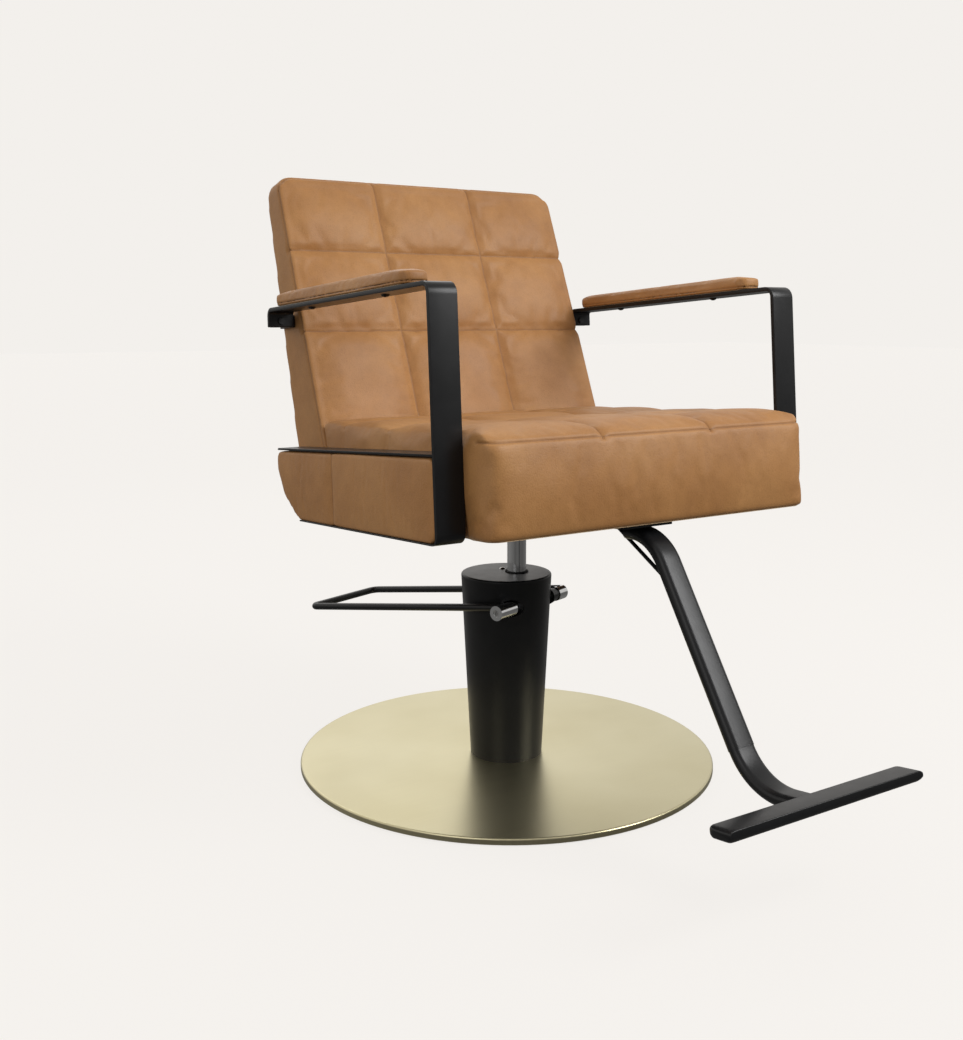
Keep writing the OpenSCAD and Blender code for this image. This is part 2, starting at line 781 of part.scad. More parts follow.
module bracket_screws() {
    color(bare_steel) on_seat() for (s = [-1, 1]) {
        translate([s * arm_x, arm_rear - bar_t, bracket_screw_w]) rotate([-90, 0, 0]) {
            cylinder(r = m6_r, h = bar_t + bracket_t + 2);
            translate([0, 0, bar_t + bracket_t]) cylinder(r = 5, h = 4, $fn = 6);
            translate([0, 0, -2.5]) cylinder(r = 5, h = 2.5);
        }
        translate([s * (seat_half_w + fit), bracket_screw_v, bracket_screw_w]) rotate([0, s * 90, 0]) {
            cylinder(r = m6_r, h = bracket_t);
            translate([0, 0, bracket_t]) cylinder(r = 5.5, h = 2.5);
        }
    }
}

// ---------- footrest ----------

module footrest_plate() {
    color(black_steel) on_seat() difference() {
        translate([0, 0, under - foot_plate_t]) linear_extrude(foot_plate_t)
            polygon(rounded([for (p = [[-1, 0], [1, 0], [1, 1], [-1, 1]])
                [p.x * foot_plate_half_w, foot_plate_v[p.y], 6]]));
        for (p = foot_bolt_places) translate([p.x, p.y, under - foot_plate_t]) {
            translate([0, 0, -1]) cylinder(r = m8_r + run, h = 10);
            translate([0, 0, -0.5]) cylinder(r1 = 8.2, r2 = m8_r + run, h = 4.2);
        }
    }
}

module footrest_bolts() {
    color(bare_steel) on_seat() for (p = foot_bolt_places) translate([p.x, p.y, under - foot_plate_t]) {
        cylinder(r = m8_r, h = foot_plate_t + dust_t + 10);
        cylinder(r1 = 7.6, r2 = m8_r, h = 3.6);
    }
}

// Flat oval, wide along the first axis
function oval_points(w, t) =
    [for (side = [1, -1]) for (a = [-90:15:90]) side * [(w - t) / 2 + t / 2 * cos(a), t / 2 * sin(a)]];
module oval(w, t) { polygon(oval_points(w, t)); }

// A frame at a point (v, w) of the tube, its third axis along the tube, a degrees below forward
module pipe_at(p, a) { translate([0, p.x, p.y]) rotate([90 + a, 0, 0]) children(); }
module bend_down(r, angle) {
    translate([0, -r, 0]) rotate([90, 0, 90]) rotate_extrude(angle = angle, $fn = 96)
        translate([r, 0]) rotate(90) children();
}
function ahead(a) = [-cos(a), -sin(a)];
function above(a) = [-sin(a), cos(a)];

top_end = [tube_start - top_run, tube_w0];
bend_end = top_end + bend_r * [-sin(bend_angle), cos(bend_angle) - 1];
straight_end = bend_end + straight_len * ahead(bend_angle);
elbow_end = straight_end + elbow_r * sin(elbow_angle) * ahead(bend_angle)
    + elbow_r * (1 - cos(elbow_angle)) * above(bend_angle);
bar_angle = bend_angle - elbow_angle;

// Places along the tube: a point (v, w) and the tube's direction there, in degrees below forward
tube_path = concat([[[tube_start, tube_w0], 0]],
    [for (i = [0:10]) let (a = bend_angle * i / 10) [top_end + bend_r * [-sin(a), cos(a) - 1], a]],
    [[straight_end, bend_angle]]);
function oval_ring(place, w, t) =
    [for (q = oval_points(w, t)) [q.x, place[0].x - q.y * sin(place[1]), place[0].y + q.y * cos(place[1])]];

// Rings outside and rings inside, joined along the tube and across its two ends
module footrest_tube() {
    n = len(tube_path);
    k = len(oval_points(tube_w, tube_t));
    outside = [for (s = tube_path) each oval_ring(s, tube_w, tube_t)];
    inside = [for (s = tube_path) each oval_ring(s, tube_w - 2 * tube_wall, tube_t - 2 * tube_wall)];
    function at(layer, i, j) = (layer * n + i) * k + j % k;
    walls = [for (i = [0:n - 2]) for (j = [0:k - 1]) each [
        [at(0, i, j), at(0, i + 1, j), at(0, i + 1, j + 1), at(0, i, j + 1)],
        [at(1, i, j), at(1, i, j + 1), at(1, i + 1, j + 1), at(1, i + 1, j)]]];
    ends = [for (j = [0:k - 1]) each [
        [at(0, 0, j), at(0, 0, j + 1), at(1, 0, j + 1), at(1, 0, j)],
        [at(0, n - 1, j), at(1, n - 1, j), at(1, n - 1, j + 1), at(0, n - 1, j + 1)]]];
    color(black_steel) on_seat() polyhedron(concat(outside, inside), concat(walls, ends), convexity = 10);
}

module footrest_elbow() {
    lap = 14;
    slack = 2 * tube_wall + 0.2;
    color(black_steel) on_seat() {
        pipe_at(straight_end - lap * ahead(bend_angle), bend_angle)
            linear_extrude(lap + 0.5) oval(tube_w - slack, tube_t - slack);
        pipe_at(straight_end, bend_angle) rotate([0, 0, 180])
            bend_down(elbow_r, elbow_angle) oval(tube_w - 0.6, tube_t - 0.6);
        pipe_at(elbow_end - 0.01 * ahead(bar_angle), bar_angle)
            linear_extrude(bar_reach - 8) oval(tube_w - 0.6, tube_t - 0.6);
    }
}

module footrest_brace() {
    run_v = brace_foot - brace_top;
    color(black_steel) on_seat() pipe_at(brace_top, atan2(-run_v.y, -run_v.x))
        cylinder(r = brace_r, h = norm(run_v));
}

// A frame in the middle of the foot bar's flat top
module on_foot_bar() {
    on_seat() pipe_at(elbow_end, bar_angle) translate([0, bar_rise, bar_reach]) children();
}

// The foot bar's section, seen from the sitter's left: flat on top, round underneath and behind
module bar_section(inset) {
    front = inset - foot_bar_depth[0];
    rear = foot_bar_depth[1] - inset;
    low = inset - foot_bar_t;
    polygon(rounded([[front, low, 7.5 - inset], [rear, low, 6.6 - inset], [rear, -inset, 5.5 - inset],
        [front, -inset, 1.2 - inset / 2]]));
}

module foot_bar() {
    half = foot_half_w - cap_t;
    color(black_steel) on_foot_bar() rotate([0, 90, 0]) difference() {
        translate([0, 0, -half]) linear_extrude(2 * half) bar_section(0);
        translate([0, 0, -half - 1]) linear_extrude(2 * half + 2) bar_section(tube_wall);
    }
}

module foot_bar_caps() {
    plug = 9;
    color(black_steel) on_foot_bar() for (s = [-1, 1]) rotate([0, s * 90, 0]) mirror([s > 0 ? 0 : 1, 0, 0]) {
        translate([0, 0, foot_half_w - cap_t]) linear_extrude(cap_t) bar_section(0);
        translate([0, 0, foot_half_w - cap_t - plug]) linear_extrude(plug + 0.01)
            bar_section(tube_wall + 0.1);
    }
}

floor_pad();
base_plate();
base_bolts();
pump_cylinder();
pump_head();
head_screws();
shaft_bushes();
gland_nut();
ram_seal();
plunger_spring();
column_cover();
cover_bush();
cover_screw();
piston_head();
piston_seal();
thrust_washer();
plunger();
lever_shaft();
pump_cam();
cam_pin();
shaft_collar();
lever_blocks();
lever_screws();
lever_bar();
ram();
seat_hub();
hub_plate();
hub_bolts();
seat_board();
dust_cover();
seat_cushion();
cross_rails();
rail_screws();
back_board();
back_straps();
strap_screws();
back_cushion();
back_panel();
side_frame_left();
side_frame_right();
side_strip_left();
side_strip_right();
side_panel_left();
side_panel_right();
arm_board_left();
arm_board_right();
arm_pad_left();
arm_pad_right();
arm_pad_screws();
back_brackets();
bracket_screws();
footrest_plate();
footrest_bolts();
footrest_tube();
footrest_brace();
footrest_elbow();
foot_bar();
foot_bar_caps();
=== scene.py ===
"""Looks for the hydraulic styling chair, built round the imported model.

Metres, in the model's frame: the origin is the swivel axis at floor level, +Z is up and the sitter
faces -Y. The seat's own frame (x, v, w) is tilted: v runs back along the seat and w stands on it.
"""

import json
import math

import bmesh
import bpy
from mathutils import Matrix, Vector, noise


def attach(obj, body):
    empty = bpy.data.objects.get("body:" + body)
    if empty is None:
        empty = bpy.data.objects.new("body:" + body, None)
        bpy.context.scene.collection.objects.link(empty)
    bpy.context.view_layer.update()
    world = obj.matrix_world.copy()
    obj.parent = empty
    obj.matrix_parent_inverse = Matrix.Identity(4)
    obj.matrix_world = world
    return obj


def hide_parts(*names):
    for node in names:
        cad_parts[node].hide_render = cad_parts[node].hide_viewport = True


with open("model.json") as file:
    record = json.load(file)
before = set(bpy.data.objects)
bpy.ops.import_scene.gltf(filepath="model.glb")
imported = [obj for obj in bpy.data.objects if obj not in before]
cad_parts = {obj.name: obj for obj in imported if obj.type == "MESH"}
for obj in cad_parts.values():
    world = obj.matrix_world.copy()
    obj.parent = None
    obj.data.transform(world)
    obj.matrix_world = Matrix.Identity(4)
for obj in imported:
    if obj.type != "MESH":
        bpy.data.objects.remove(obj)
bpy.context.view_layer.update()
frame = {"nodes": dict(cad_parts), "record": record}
nodes = frame["nodes"]

# The seat's frame, and the lean of the back's front and rear faces in it
SEAT_TILT = math.radians(3.75)
SEAT_Z = 0.379
SEAT = Matrix.Translation((0, 0, SEAT_Z)) @ Matrix.Rotation(-SEAT_TILT, 4, "X")
RECLINE = math.radians(18)
BACK_LINE_V, BACK_LINE_W = 0.115, 0.110
REAR_FOOT_V, REAR_FOOT_W = 0.188, 0.002
REAR_TOP_V, REAR_TOP_W = 0.302, 0.503
REAR_LEAN = math.atan2(REAR_TOP_V - REAR_FOOT_V, REAR_TOP_W - REAR_FOOT_W)
LEG_FRONT_V = -0.271

# The arms' flat bars
BAR_T = 0.006
BAR_FOOT_T = 0.002
BAR_EDGE = 0.0006
STRIP_T, STRIP_DROP = 0.003, 0.005
LIP_FOOT_W = 0.271
FRAME_REAR_V = 0.109

# The footrest's tube, its elbow and the foot bar
TUBE_W, TUBE_T = 0.036, 0.017
TUBE_START_V, TUBE_START_W = -0.270, -0.0185
BEND_R, BEND_ANGLE = 0.066, 60.5
STRAIGHT_LEN = 0.233
ELBOW_R, ELBOW_ANGLE = 0.077, 64.75
BAR_REACH, BAR_RISE = 0.045, 0.012
BEND_STEPS = 24
ELBOW_STEP = 0.0012

# The foot bar's end caps: their length, how round they are, and how much they narrow and rise
CAP_LEN = 0.010
CAP_STEPS = 8
CAP_ROUND = 2.6
CAP_NARROW, CAP_RISE = 0.62, 0.35

# Quilting: the two lengthwise seams of the seat and the back, and the cross seams
QUILT_HALF_W = 0.254
QUILT_X = 0.088
BACK_ROWS = (0.265, 0.389)
SEAT_ROWS = (-0.199, -0.075, 0.049)
FRONT_SEAM_W = 0.111
SIDE_SEAM_V = 0.003
# A seam's loops of edges lie at these multiples of SEAM_EDGE from its line
SEAM_EDGE = 0.0012
SEAM_LOOPS = (-2.5, -1, 0, 1, 2.5)
SEAM_LINE = 0.0016
SEAM_REACH = 0.012

# The photo's camera, worked out from the round base and the seat: metres, radians, millimetres
CAMERA_AWAY, CAMERA_UP = 1.7284, 0.654
CAMERA_ROUND, CAMERA_YAW, CAMERA_PITCH = 0.606, -0.030, 0.071
CAMERA_LENS = 41.08
CAMERA_SHIFT = -0.1154

LEATHER_DARK, LEATHER, LEATHER_LIGHT = (0.365, 0.165, 0.050), (0.430, 0.204, 0.065), (0.490, 0.245, 0.084)

# Studio: the backdrop's colour, the room's brightness beside it, and the lamps in watts
BACKDROP = (0.896, 0.871, 0.838)
# The room by how far up one looks (0 is level), and by how far back (from darkest to full)
ROOM_LEVELS = ((0.0, 0.24), (0.05, 1.0), (0.9, 1.0))
ROOM_FRONT = 0.52
ROOM_DEPTH = (-0.6, 0.5)
# Soft light and dark panels in it
PANEL_SCALE = 1.9
PANEL_NOISE, PANEL_LEVEL = (0.35, 0.65), (0.85, 1.15)
FLOOR_DIFFUSE = (0.080, 0.078, 0.075)
FLOOR_GLOW = (0.822, 0.798, 0.769)
FLOOR_HALF = 20
KEY_POWER, FILL_POWER, RIM_POWER = 56, 10, 9

# Cloth simulation, and the size of the cells that the covers are remeshed in
SIM_FRAMES = 20
CLOTH_QUALITY = 5
CLOTH_MASS = 0.3
CLOTH_PRESSURE = 4.0
CUSHION_VOXEL = 0.006
PAD_VOXEL = 0.004


# ---------- measuring ----------

def local_box(node, place):
    """Lowest and highest corners of a CAD node in a frame of its own."""
    back = place.inverted()
    places = [back @ v.co for v in nodes[node].data.vertices]
    low = Vector([min(p[i] for p in places) for i in range(3)])
    high = Vector([max(p[i] for p in places) for i in range(3)])
    return low, high


def seat_box(node):
    return local_box(node, SEAT)


# ---------- mesh helpers ----------

def arc(corner, before, after, radius, steps=6):
    """Points round a corner between two neighbours; the corner itself where the radius is 0."""
    if not radius:
        return [Vector(corner)]
    corner, before, after = Vector(corner), Vector(before), Vector(after)
    a, b = (before - corner).normalized(), (after - corner).normalized()
    half = a.angle(b) / 2
    middle = corner + (a + b).normalized() * radius / math.sin(half)
    start = corner + a * radius / math.tan(half) - middle
    end = corner + b * radius / math.tan(half) - middle
    turn = start.angle_signed(end)
    return [middle + Matrix.Rotation(-turn * i / steps, 2) @ start for i in range(steps + 1)]


def rounded(points):
    """A closed outline from (a, b, corner radius) points."""
    outline = []
    for i, (a, b, radius) in enumerate(points):
        before, after = points[i - 1], points[(i + 1) % len(points)]
        outline += arc((a, b), before[:2], after[:2], radius)
    return outline


def slab(name, outline, x0, x1, soften=0.0):
    """A closed solid in the seat's frame: a (v, w) outline carried from x0 to x1.

    The edges of its two ends may be softened with a small bevel.
    """
    bm = bmesh.new()
    ends = [[bm.verts.new((x, p[0], p[1])) for p in outline] for x in (x0, x1)]
    bm.faces.new(ends[0])
    bm.faces.new(reversed(ends[1]))
    count = len(outline)
    for i in range(count):
        j = (i + 1) % count
        bm.faces.new((ends[0][j], ends[0][i], ends[1][i], ends[1][j]))
    bmesh.ops.recalc_face_normals(bm, faces=bm.faces)
    if soften:
        rims = [e for e in bm.edges if abs(e.verts[0].co.x - e.verts[1].co.x) < 1e-6]
        bmesh.ops.bevel(bm, geom=rims, offset=soften, segments=4, profile=0.5, affect="EDGES")
    mesh = bpy.data.meshes.new(name)
    bm.to_mesh(mesh)
    bm.free()
    piece = bpy.data.objects.new(name, mesh)
    bpy.context.collection.objects.link(piece)
    return piece


def plate(name, outline, z0, z1):
    """A closed solid: an (x, y) outline carried from z0 up to z1."""
    piece = slab(name, outline, z0, z1)
    piece.data.transform(Matrix(((0, 1, 0, 0), (0, 0, 1, 0), (1, 0, 0, 0), (0, 0, 0, 1))))
    return piece


def bake(piece):
    """Turns the piece's modifiers into its mesh."""
    graph = bpy.context.evaluated_depsgraph_get()
    mesh = bpy.data.meshes.new_from_object(piece.evaluated_get(graph))
    piece.modifiers.clear()
    piece.data = mesh


def remesh(piece, voxel):
    modifier = piece.modifiers.new("voxels", "REMESH")
    modifier.mode = "VOXEL"
    modifier.voxel_size = voxel
    bake(piece)


def reshape(piece, move):
    """Moves each point of the piece to move(place)."""
    for v in piece.data.vertices:
        v.co = move(v.co.copy())
    piece.data.update()


def round_corner(a, b, radius):
    """Two distances past a pair of faces, negative inside, drawn in where the corner is rounded."""
    a, b = a + radius, b + radius
    if a > 0 and b > 0:
        shrink = max(a, b) / math.hypot(a, b)
        a, b = a * shrink, b * shrink
    return a - radius, b - radius


def relax(piece, rounds):
    """Smooths the piece's points towards their neighbours, a number of times over."""
    modifier = piece.modifiers.new("relax", "SMOOTH")
    modifier.factor = 0.5
    modifier.iterations = rounds
    bake(piece)


def fill(piece, held, cap, slack):
    """Blows the cover up as its foam does, with the cloth held still where held(place) is true.

    No point moves further than the cap, and the cloth is cut larger than the shape by the slack.
    """
    group = piece.vertex_groups.new(name="held")
    start = [v.co.copy() for v in piece.data.vertices]
    group.add([i for i, place in enumerate(start) if held(place)], 1.0, "ADD")
    cloth = piece.modifiers.new("cloth", "CLOTH")
    cloth.settings.quality = CLOTH_QUALITY
    cloth.settings.mass = CLOTH_MASS
    cloth.settings.use_pressure = True
    cloth.settings.uniform_pressure_force = CLOTH_PRESSURE
    cloth.settings.effector_weights.gravity = 0
    cloth.settings.vertex_group_mass = group.name
    cloth.settings.shrink_min = -slack
    for step in range(1, SIM_FRAMES + 1):
        bpy.context.scene.frame_set(step)
    graph = bpy.context.evaluated_depsgraph_get()
    moved = [v.co.copy() for v in piece.evaluated_get(graph).data.vertices]
    piece.modifiers.clear()
    piece.vertex_groups.clear()
    bpy.context.scene.frame_set(1)
    for v, old, new in zip(piece.data.vertices, start, moved):
        step = new - old
        v.co = old + step * min(1.0, cap / max(step.length, 1e-9))
    piece.data.update()


def subdivide(piece):
    modifier = piece.modifiers.new("subdivision", "SUBSURF")
    modifier.levels = 1
    modifier.render_levels = 1
    bake(piece)


class Seam:
    """A sewn line: where a plane cuts the cover, inside a region of it."""

    def __init__(self, point, normal, near, depth=0.0013, width=0.008, valley=0.0):
        self.point = Vector(point)
        self.normal = Vector(normal).normalized()
        self.near = near
        self.depth = depth
        self.width = width
        self.valley = valley

    def distance(self, place):
        return abs((place - self.point).dot(self.normal))

    def cut(self, place):
        """How deep the cover is drawn in at a place: a soft valley with a sharp line in it."""
        away = self.distance(place)
        pucker = 1 + 0.5 * noise.noise(place * 55)
        soft = self.valley * pucker * math.exp(-((away / self.width) ** 2))
        return soft + self.depth * math.exp(-((away / SEAM_LINE) ** 2))


def around(bm, seam):
    """The faces of a cover that lie along a seam, with their edges and points."""
    faces = []
    for face in bm.faces:
        centre = face.calc_center_median()
        if seam.distance(centre) < SEAM_REACH and seam.near(centre):
            faces.append(face)
    edges = dict.fromkeys(e for f in faces for e in f.edges)
    points = dict.fromkeys(v for f in faces for v in f.verts)
    return faces + list(edges) + list(points)


def sew(piece, seams):
    """Cuts edge loops along each seam, draws them in, and marks them for painted shade in the leather's
    colour.
    """
    bm = bmesh.new()
    bm.from_mesh(piece.data)
    for seam in seams:
        for step in SEAM_LOOPS:
            at = seam.point + seam.normal * step * SEAM_EDGE
            geom = around(bm, seam)
            bmesh.ops.bisect_plane(bm, geom=geom, dist=1e-5, plane_co=at, plane_no=seam.normal)
    bm.normal_update()
    # The seam attribute is a mask of painted shade: 1 on the groove's line, fading to 0 about two
    # millimetres from it.
    painted_shade_layer = bm.verts.layers.float.new("seam")
    for v in bm.verts:
        cuts = [seam.cut(v.co) for seam in seams if seam.near(v.co)]
        if not cuts:
            continue
        away = min(seam.distance(v.co) for seam in seams if seam.near(v.co))
        v[painted_shade_layer] = max(0.0, 1 - away / (SEAM_EDGE * 1.6))
        v.co -= v.normal * max(cuts)
    bm.to_mesh(piece.data)
    bm.free()


def finish_cover(piece, node, material):
    """Puts a cover in its place on the chair, in leather."""
    piece.data.transform(SEAT)
    for face in piece.data.polygons:
        face.use_smooth = True
    piece.data.materials.clear()
    piece.data.materials.append(material)
    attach(piece, "chair")
    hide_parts(node)
    return piece


# ---------- cushions ----------

def back_front(w):
    """Place along v of the back's front face at a height w."""
    return BACK_LINE_V + (w - BACK_LINE_W) * math.tan(RECLINE)


def seat_cushion(material):
    low, high = seat_box("seat_cushion")
    inset = 0.001
    half = QUILT_HALF_W - inset
    front = low.y + inset
    foot = low.z - 0.0008
    top = high.z - 0.004
    outline = rounded([
        (front, foot, 0.005), (back_front(foot) - inset, foot, 0),
        (back_front(top) - inset, top + 0.006, 0.006), (-0.120, top - 0.002, 0.6),
        (-0.240, top + 0.001, 0.12),
        (front + 0.018, FRONT_SEAM_W + 0.013, 0.020), (front, FRONT_SEAM_W - 0.002, 0.008),
    ])
    piece = slab("seat_cover", outline, -half, half)
    remesh(piece, CUSHION_VOXEL)
    flare = high.x - QUILT_HALF_W

    def shape(place):
        out, ahead = round_corner(abs(place.x) - half, front - place.y, 0.016)
        place.x = math.copysign(half + out, place.x)
        place.y = front - ahead
        bulge = min(1.0, max(0.0, (LEG_FRONT_V - place.y) / 0.014))
        place.x += math.copysign(flare * bulge, place.x) * min(1.0, abs(place.x) / half)
        return place

    reshape(piece, shape)
    relax(piece, 4)

    def upper(p):
        return p.z > FRONT_SEAM_W - 0.004

    def flat_top(p):
        return p.z > FRONT_SEAM_W + 0.009

    def front_face(p):
        return p.y < LEG_FRONT_V - 0.025

    seams = [Seam((side * QUILT_X, 0, 0), (1, 0, 0), upper, valley=0.003) for side in (-1, 1)]
    seams += [Seam((0, v, 0), (0, 1, 0), flat_top, valley=0.002, depth=0.0006) for v in SEAT_ROWS]
    seams.append(Seam((0, 0, FRONT_SEAM_W), (0, 0, 1), front_face, valley=0.0008, width=0.005, depth=0.0016))

    def held(p):
        painted_seam_shade = any(seam.near(p) and seam.distance(p) < CUSHION_VOXEL for seam in seams)
        return painted_seam_shade or p.z < 0.004 or p.y > back_front(p.z) - 0.010

    fill(piece, held, cap=0.005, slack=0.005)
    subdivide(piece)
    sew(piece, seams)
    return finish_cover(piece, "seat_cushion", material)


def back_cushion(material):
    low, high = seat_box("back_cushion")
    inset = 0.0008
    half = high.x
    top = high.z + 0.0022
    outline = rounded([
        (back_front(low.z) + inset, low.z, 0.006), (back_front(top) + inset, top, 0.012),
        (high.y - inset, top, 0.036), (REAR_FOOT_V - inset, low.z, 0.006),
    ])
    piece = slab("back_cover", outline, -half, half)
    upright = Matrix.Rotation(RECLINE, 4, "X")
    piece.data.transform(upright)
    remesh(piece, CUSHION_VOXEL)
    piece.data.transform(upright.inverted())

    def shape(place):
        out, rise = round_corner(abs(place.x) - half, place.z - top, 0.026)
        place.x = math.copysign(half + out, place.x)
        place.z = top + rise
        return place

    reshape(piece, shape)
    relax(piece, 2)
    face = Vector((0, -math.cos(RECLINE), math.sin(RECLINE)))
    up = Vector((0, math.sin(RECLINE), math.cos(RECLINE)))
    on_face = Vector((0, BACK_LINE_V, BACK_LINE_W))

    def front(p):
        return (p - on_face).dot(face) > -0.010

    def border(p):
        return abs(p.x) > half - 0.016 or p.z > top - 0.020

    seams = [Seam((side * QUILT_X, 0, 0), (1, 0, 0), front, valley=0.003) for side in (-1, 1)]
    seams += [Seam((0, back_front(w), w), up, front, valley=0.003) for w in BACK_ROWS]
    seams.append(Seam(on_face - face * 0.005, face, border, valley=0.0004, width=0.004, depth=0.0012))

    def held(p):
        painted_seam_shade = any(seam.near(p) and seam.distance(p) < CUSHION_VOXEL for seam in seams)
        edge = abs(p.x) > half - 0.003 or p.z > top - 0.003
        return painted_seam_shade or edge or p.z < low.z + 0.012 or (p - on_face).dot(face) < -0.050

    fill(piece, held, cap=0.007, slack=0.012)
    subdivide(piece)
    sew(piece, seams)
    return finish_cover(piece, "back_cushion", material)


def back_panel(material):
    """The flat leather cover over the board behind the back, slightly crowned."""
    rear = SEAT @ Matrix.Translation((0, REAR_FOOT_V, REAR_FOOT_W))
    rear = rear @ Matrix.Rotation(math.pi / 2 - REAR_LEAN, 4, "X")
    low, high = local_box("back_panel", rear)
    middle = (low + high) / 2
    half = (high - low) / 2
    outline = [(low.y, low.z), (high.y, low.z), (high.y, high.z), (low.y, high.z)]
    piece = slab("back_panel_cover", outline, low.x, high.x, soften=0.0015)
    modifier = piece.modifiers.new("subdivision", "SUBSURF")
    modifier.subdivision_type = "SIMPLE"
    modifier.levels = 5
    bake(piece)

    def crown(place):
        across = (place.x - middle.x) / half.x
        along = (place.y - middle.y) / half.y
        swell = max(0.0, 1 - across ** 4) * max(0.0, 1 - along ** 4)
        waves = 0.0005 * noise.noise(place * 24)
        if place.z < middle.z:
            place.z -= 0.0035 * swell + waves * swell
        return place

    reshape(piece, crown)
    piece.data.transform(SEAT.inverted() @ rear)
    return finish_cover(piece, "back_panel", material)


def side_panel(side, material):
    node = "side_panel_" + side
    low, high = seat_box(node)
    foot = low.z
    rear, top = high.y - 0.001, high.z - 0.001
    outline = rounded([
        (low.y, foot + 0.001, 0.015), (FRAME_REAR_V, foot, 0), (rear - 0.059, foot + 0.006, 0.030),
        (rear - 0.021, 0.027, 0.045), (rear, 0.064, 0.040), (rear, top - STRIP_DROP, 0.014),
        (low.y, top, 0.012),
    ])
    piece = slab(node + "_cover", outline, low.x, high.x)
    remesh(piece, PAD_VOXEL)
    relax(piece, 3)
    seam = Seam((0, SIDE_SEAM_V, 0), (0, 1, 0), lambda p: True, valley=0.0010, depth=0.0010)

    def held(p):
        rim = p.z < low.z + 0.006 or p.z > high.z - 0.010 or p.y < low.y + 0.008
        return rim or seam.distance(p) < PAD_VOXEL

    fill(piece, held, cap=0.0025, slack=0.002)
    subdivide(piece)
    sew(piece, [seam])
    return finish_cover(piece, node, material)


def arm_pad(side, material):
    node = "arm_pad_" + side
    low, high = seat_box(node)
    inset = 0.0008
    plan = rounded([
        (low.x + inset, low.y + inset, 0.015), (high.x - inset, low.y + inset, 0.015),
        (high.x - inset, high.y - inset, 0.015), (low.x + inset, high.y - inset, 0.015),
    ])
    piece = plate(node + "_cover", plan, low.z, high.z)
    remesh(piece, PAD_VOXEL * 0.75)
    relax(piece, 8)
    fill(piece, lambda p: p.z < low.z + 0.004, cap=0.003, slack=0.004)
    subdivide(piece)
    sew(piece, [Seam((0, 0, low.z + 0.004), (0, 0, 1), lambda p: True, width=0.002, depth=0.0006)])
    return finish_cover(piece, node, material)


# ---------- steel pieces ----------

def steel(piece, place, material, *replaced):
    """Puts a steel piece in its place on the chair, for the CAD nodes it stands for."""
    piece.data.transform(place)
    for face in piece.data.polygons:
        face.use_smooth = True
    piece.data.set_sharp_from_angle(angle=math.radians(40))
    piece.data.materials.clear()
    piece.data.materials.append(material)
    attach(piece, "chair")
    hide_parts(*replaced)
    return piece


def side_frame(side, material):
    """The bent flat bar of one arm, its edges eased."""
    node = "side_frame_" + side
    low, high = seat_box(node)
    t = BAR_T
    outline = rounded([
        (high.y, LIP_FOOT_W, 0.0015), (high.y, high.z, 0.012),
        (low.y, high.z, 0.016), (low.y, low.z, 0.014),
        (FRAME_REAR_V, low.z, 0.0008), (FRAME_REAR_V, low.z + BAR_FOOT_T, 0.0008),
        (low.y + t, low.z + BAR_FOOT_T, 0.006),
        (low.y + t, high.z - t, 0.008), (high.y - t, high.z - t, 0.004),
        (high.y - t, LIP_FOOT_W, 0.0015),
    ])
    piece = slab(node + "_bar", outline, low.x, high.x, soften=BAR_EDGE)
    return steel(piece, SEAT, material, node)


def side_strip(side, material):
    """The flat bar over one side panel, falling slightly towards the rear."""
    node = "side_strip_" + side
    low, high = seat_box(node)
    rear = high.z - STRIP_DROP
    outline = rounded([
        (low.y, high.z - STRIP_T, 0), (low.y, high.z, 0), (high.y - 0.001, rear, 0.0018),
        (high.y, rear - STRIP_T, 0.0008),
    ])
    piece = slab(node + "_bar", outline, low.x, high.x, soften=BAR_EDGE)
    return steel(piece, SEAT, material, node)


def oval(width, thickness, steps=12):
    """A flat oval, wide along its first axis."""
    points = []
    for side in (1, -1):
        for i in range(steps + 1):
            a = math.pi * (i / steps - 0.5)
            points.append((side * ((width - thickness) / 2 + thickness / 2 * math.cos(a)),
                           side * thickness / 2 * math.sin(a)))
    return points


def swept(name, section, path):
    """A closed tube: a section carried along (v, w, degrees below forward) places in the seat's frame."""
    bm = bmesh.new()
    rings = []
    for v, w, angle in path:
        a = math.radians(angle)
        rings.append([bm.verts.new((x, v - y * math.sin(a), w + y * math.cos(a))) for x, y in section])
    for ring, following in zip(rings, rings[1:]):
        for i in range(len(section)):
            j = (i + 1) % len(section)
            bm.faces.new((ring[i], ring[j], following[j], following[i]))
    bm.faces.new(rings[0])
    bm.faces.new(reversed(rings[-1]))
    bmesh.ops.recalc_face_normals(bm, faces=bm.faces)
    mesh = bpy.data.meshes.new(name)
    bm.to_mesh(mesh)
    bm.free()
    piece = bpy.data.objects.new(name, mesh)
    bpy.context.collection.objects.link(piece)
    return piece


def ahead(angle):
    return Vector((-math.cos(math.radians(angle)), -math.sin(math.radians(angle))))


def above(angle):
    return Vector((-math.sin(math.radians(angle)), math.cos(math.radians(angle))))


def footrest_places():
    """Start of the tube's bend, and the ends of its straight run and of the elbow, as (v, w) points."""
    start = Vector((TUBE_START_V, TUBE_START_W))
    bend = math.radians(BEND_ANGLE)
    bend_end = start + BEND_R * Vector((-math.sin(bend), math.cos(bend) - 1))
    straight_end = bend_end + STRAIGHT_LEN * ahead(BEND_ANGLE)
    return start, straight_end, on_elbow(straight_end, ELBOW_ANGLE)


def on_elbow(straight_end, turn):
    """The (v, w) point of the elbow where it has turned up by an angle."""
    turn = math.radians(turn)
    forward = math.sin(turn) * ahead(BEND_ANGLE)
    upward = (1 - math.cos(turn)) * above(BEND_ANGLE)
    return straight_end + ELBOW_R * (forward + upward)


